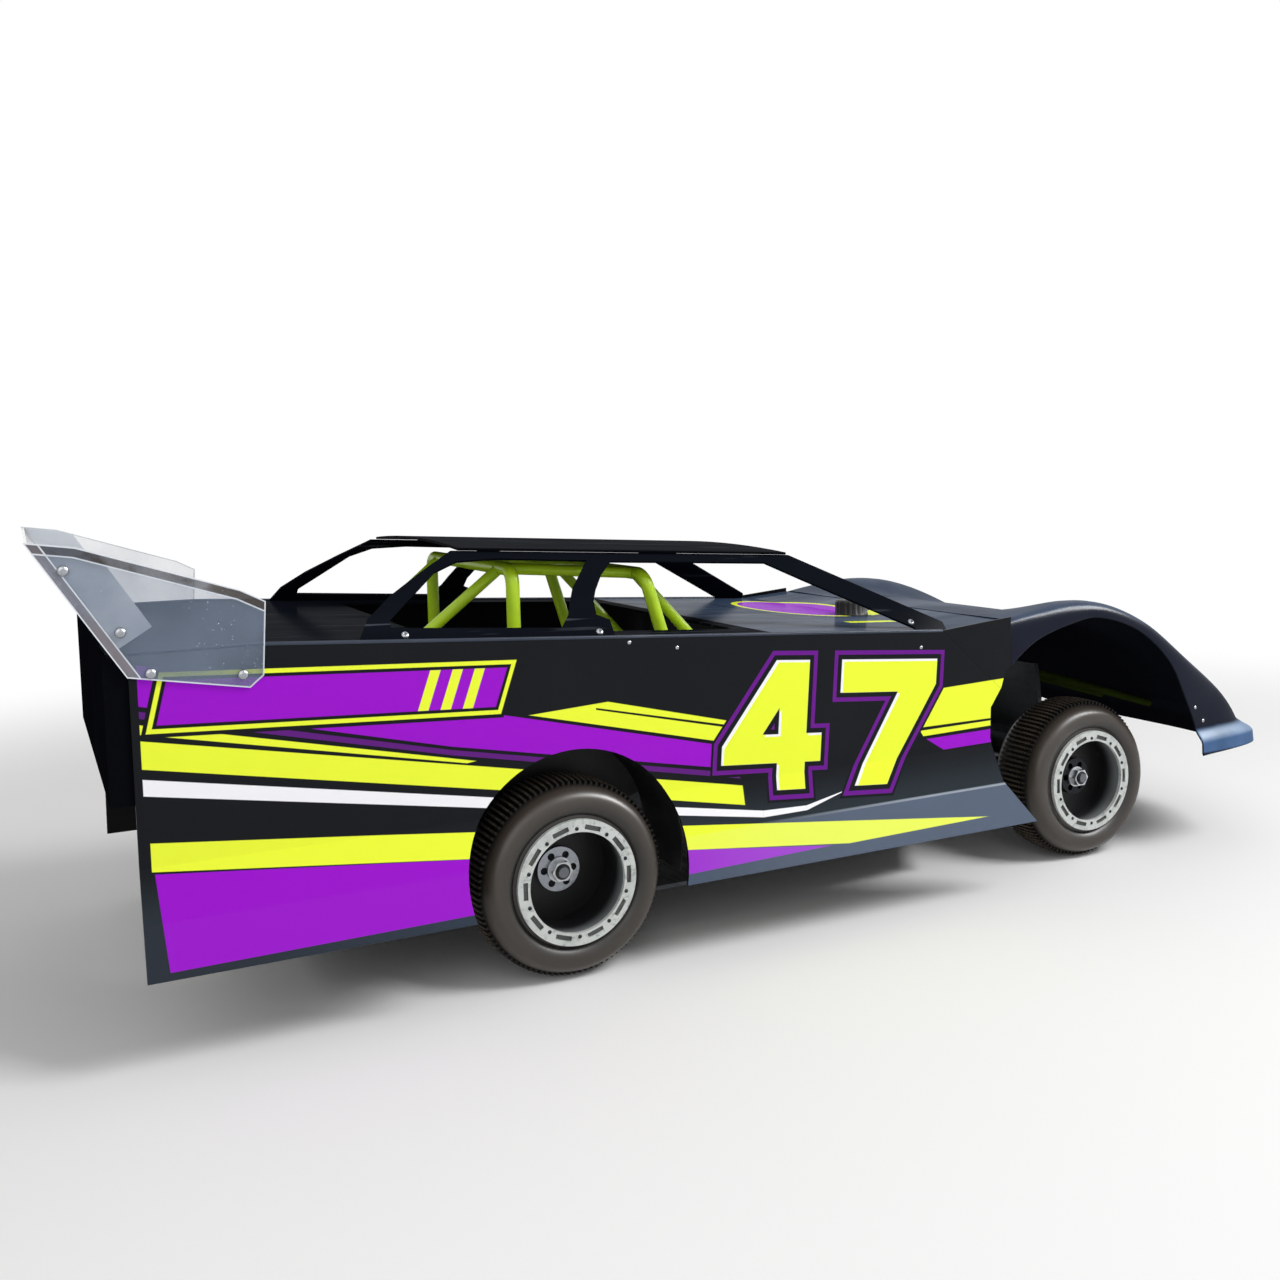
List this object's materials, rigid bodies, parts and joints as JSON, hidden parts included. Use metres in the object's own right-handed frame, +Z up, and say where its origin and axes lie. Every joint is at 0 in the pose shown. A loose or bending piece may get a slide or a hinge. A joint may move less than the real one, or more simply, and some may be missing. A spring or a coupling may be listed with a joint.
{
  "type": "quarter-scale radio-controlled dirt-oval race car",
  "caption": "Model dirt-oval race car: flat wrapped sheet body, moulded nose, clear spoiler, tube roll cage, live rear axle and steered front wheels.",
  "frame": {"origin": "on the ground under the middle of the car's overall box", "axes": "+X forward, +Y to the car's left, +Z up"},
  "size_m": [1.375, 0.481, 0.418],
  "materials": {
    "wrap": "gloss printed film over black sheet",
    "sheet": "gloss black sheet",
    "nose": "moulded gloss black",
    "clear": "clear polycarbonate",
    "bracket": "satin",
    "lime": "gloss powder coat",
    "alloy": "satin",
    "tank": "translucent white",
    "case": "satin black",
    "steel": "machined",
    "tyre": "matte rubber",
    "rim": "satin grey",
    "hub": "black anodised"
  },
  "bodies": {
    "car": {"chassis_plate": "alloy", "engine_block": "alloy", "fuel_tank": "tank", "radio_box": "case", "axle_carriers": "alloy", "front_arms": "alloy", "steering_servo": "case", "roll_cage": "lime", "body_mounts": "alloy", "nose_brace": "lime", "side_panel_right": "wrap", "side_panel_left": "wrap", "fender_panel_right": "wrap", "fender_panel_left": "wrap", "deck": "sheet", "hood": "sheet", "roof": "sheet", "window_frame_right": "sheet", "window_frame_left": "sheet", "tail_panel": "sheet", "spoiler_blade": "clear", "spoiler_side_right": "clear", "spoiler_side_left": "clear", "spoiler_brackets": "bracket", "nose": "nose"},
    "rear_axle": {"rear_shaft": "steel", "drive_gear": "steel", "rear_rim_right": "rim", "rear_rim_left": "rim", "rear_tyre_right": "tyre", "rear_tyre_left": "tyre", "rear_hub_right": "hub", "rear_hub_left": "hub"},
    "right_knuckle": {"knuckle_right": "steel"},
    "left_knuckle": {"knuckle_left": "steel"},
    "right_front_wheel": {"front_rim_right": "rim", "front_tyre_right": "tyre", "front_hub_right": "hub"},
    "left_front_wheel": {"front_rim_left": "rim", "front_tyre_left": "tyre", "front_hub_left": "hub"},
    "track_rod": {"tie_rod": "steel"},
    "steering_horn": {"servo_horn": "steel"}
  },
  "joints": [
    {"name": "rear_spin", "type": "hinge", "parent": "car", "child": "rear_axle", "pos_m": [-0.2545, 0, 0.09125], "axis": [0, 1, 0], "continuous": true},
    {"name": "steer_right", "type": "hinge", "parent": "car", "child": "right_knuckle", "pos_m": [0.4055, -0.1, 0.09125], "axis": [0, 0, 1], "range_deg": [-25, 25]},
    {"name": "steer_left", "type": "hinge", "parent": "car", "child": "left_knuckle", "pos_m": [0.4055, 0.1, 0.09125], "axis": [0, 0, 1], "range_deg": [-25, 25]},
    {"name": "horn_turn", "type": "hinge", "parent": "car", "child": "steering_horn", "pos_m": [0.4055, 0, 0.1005], "axis": [0, 0, 1], "range_deg": [-25, 25]},
    {"name": "rod_turn", "type": "hinge", "parent": "right_knuckle", "child": "track_rod", "pos_m": [0.3605, -0.1, 0.106], "axis": [0, 0, 1], "range_deg": [-25, 25]},
    {"name": "right_spin", "type": "hinge", "parent": "right_knuckle", "child": "right_front_wheel", "pos_m": [0.4055, -0.147, 0.09125], "axis": [0, 1, 0], "continuous": true},
    {"name": "left_spin", "type": "hinge", "parent": "left_knuckle", "child": "left_front_wheel", "pos_m": [0.4055, 0.147, 0.09125], "axis": [0, 1, 0], "continuous": true}
  ],
  "couplings": [
    {"joint": "steer_left", "follows": "steer_right", "ratio": 1},
    {"joint": "horn_turn", "follows": "steer_right", "ratio": 1},
    {"joint": "rod_turn", "follows": "steer_right", "ratio": -1}
  ]
}
